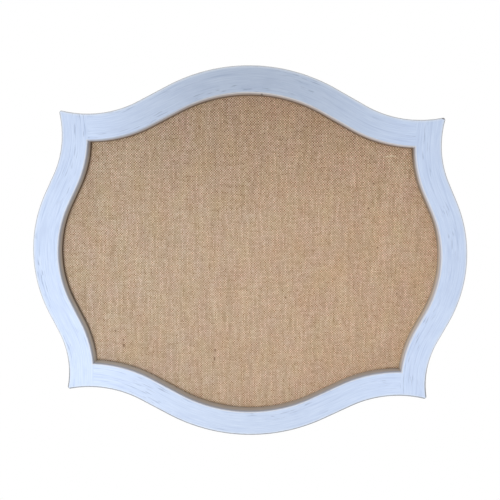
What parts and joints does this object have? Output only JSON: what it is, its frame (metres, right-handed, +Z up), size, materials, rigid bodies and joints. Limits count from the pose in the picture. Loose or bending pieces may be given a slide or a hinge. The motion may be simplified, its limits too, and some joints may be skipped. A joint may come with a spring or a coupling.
{
  "type": "memo board",
  "caption": "Wall memo board: burlap over a pin board in a pale painted wooden frame with round crowns, swelling sides and flared horns, with swinging hanger rings behind.",
  "frame": {"origin": "on the wall plane, behind the middle of the board", "axes": "+X across the board (its longest side), +Y back into the wall, +Z up"},
  "size_m": [0.8, 0.038, 0.685],
  "materials": {
    "painted_wood": "pale periwinkle paint, dry brushed, eggshell",
    "burlap": "natural jute burlap, plain weave, matt",
    "cork": "fine cork sheet, matt",
    "hardboard": "brown hardboard, smooth",
    "dowel_wood": "bare beech",
    "zinc_steel": "zinc plated, satin",
    "rubber": "black rubber, matt"
  },
  "bodies": {
    "board": {"left_stile": "painted_wood", "right_stile": "painted_wood", "top_rail": "painted_wood", "bottom_rail": "painted_wood", "burlap_cover": "burlap", "pin_board": "cork", "backing_panel": "hardboard", "top_left_inner_dowel": "dowel_wood", "top_left_outer_dowel": "dowel_wood", "top_right_inner_dowel": "dowel_wood", "top_right_outer_dowel": "dowel_wood", "bottom_left_inner_dowel": "dowel_wood", "bottom_left_outer_dowel": "dowel_wood", "bottom_right_inner_dowel": "dowel_wood", "bottom_right_outer_dowel": "dowel_wood", "top_framers_point_1": "zinc_steel", "top_framers_point_2": "zinc_steel", "top_framers_point_3": "zinc_steel", "right_framers_point_1": "zinc_steel", "right_framers_point_2": "zinc_steel", "right_framers_point_3": "zinc_steel", "bottom_framers_point_1": "zinc_steel", "bottom_framers_point_2": "zinc_steel", "bottom_framers_point_3": "zinc_steel", "left_framers_point_1": "zinc_steel", "left_framers_point_2": "zinc_steel", "left_framers_point_3": "zinc_steel", "left_hanger_strap": "zinc_steel", "left_hanger_upper_screw": "zinc_steel", "left_hanger_lower_screw": "zinc_steel", "right_hanger_strap": "zinc_steel", "right_hanger_upper_screw": "zinc_steel", "right_hanger_lower_screw": "zinc_steel", "left_wall_bumper": "rubber", "right_wall_bumper": "rubber"},
    "left_ring": {"left_hanger_ring": "zinc_steel"},
    "right_ring": {"right_hanger_ring": "zinc_steel"}
  },
  "joints": [
    {"name": "left_ring_swing", "type": "hinge", "parent": "board", "child": "left_ring", "pos_m": [-0.36309, -0.0032, 0.112], "axis": [1, 0, 0], "range_deg": [0, 180]},
    {"name": "right_ring_swing", "type": "hinge", "parent": "board", "child": "right_ring", "pos_m": [0.36309, -0.0032, 0.112], "axis": [1, 0, 0], "range_deg": [0, 180]}
  ]
}
